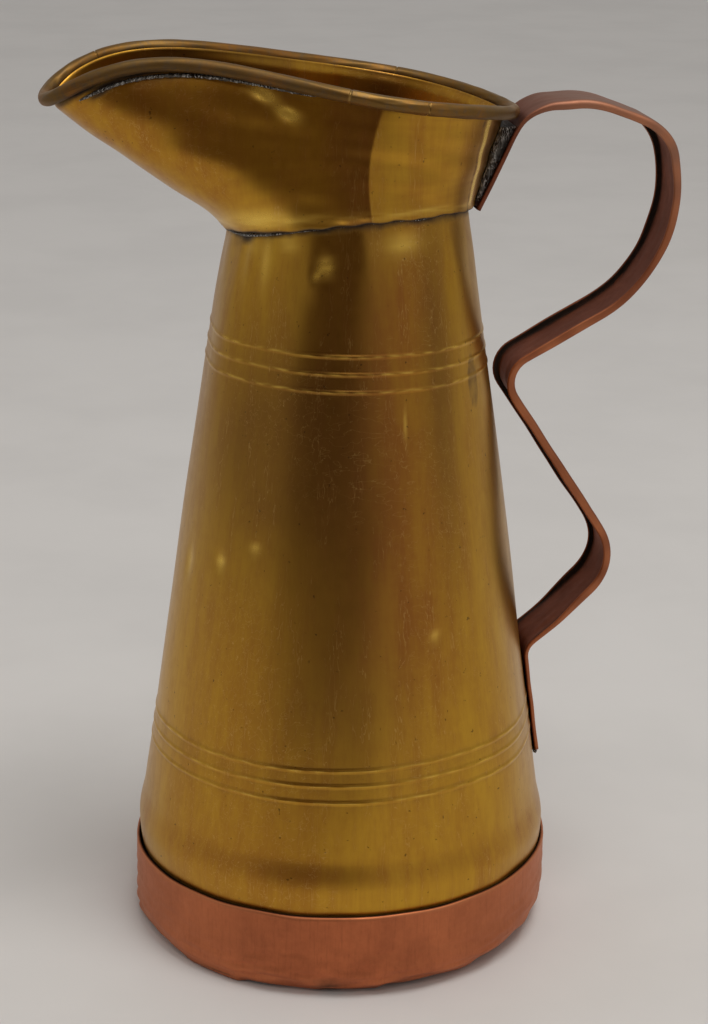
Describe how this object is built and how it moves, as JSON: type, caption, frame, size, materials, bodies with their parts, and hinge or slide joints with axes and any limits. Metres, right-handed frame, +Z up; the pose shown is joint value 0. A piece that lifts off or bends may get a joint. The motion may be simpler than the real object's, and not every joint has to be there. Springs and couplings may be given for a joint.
{
  "type": "water jug",
  "caption": "Tall tapered brass jug with a helmet-shaped pouring spout, wired rim, copper foot band and bent copper strap handle.",
  "frame": {"origin": "middle of the flat underside of the base pan", "axes": "+Z up along the body, -X towards the spout, +X towards the handle"},
  "size_m": [0.1726, 0.1184, 0.2501],
  "materials": {
    "body_brass": "satin brushed, uneven golden tarnish",
    "rim_brass": "dull brown tarnished brass, worn bright on top",
    "base_brass": "dull brass, unpolished",
    "foot_copper": "matte salmon copper, fine upright brush marks",
    "handle_copper": "brown toned copper, bright orange worn edges",
    "solder": "dull grey soft solder, lumpy",
    "wire": "dark drawn iron wire"
  },
  "bodies": {
    "root": {"body_shell": "body_brass", "collar_spout": "body_brass", "base_pan": "base_brass", "foot_band": "foot_copper", "rim_bead": "rim_brass", "rim_wire": "wire", "handle_strap": "handle_copper", "neck_solder": "solder", "rim_solder": "solder", "handle_top_solder": "solder", "handle_foot_solder": "solder", "base_solder": "solder"}
  },
  "joints": []
}
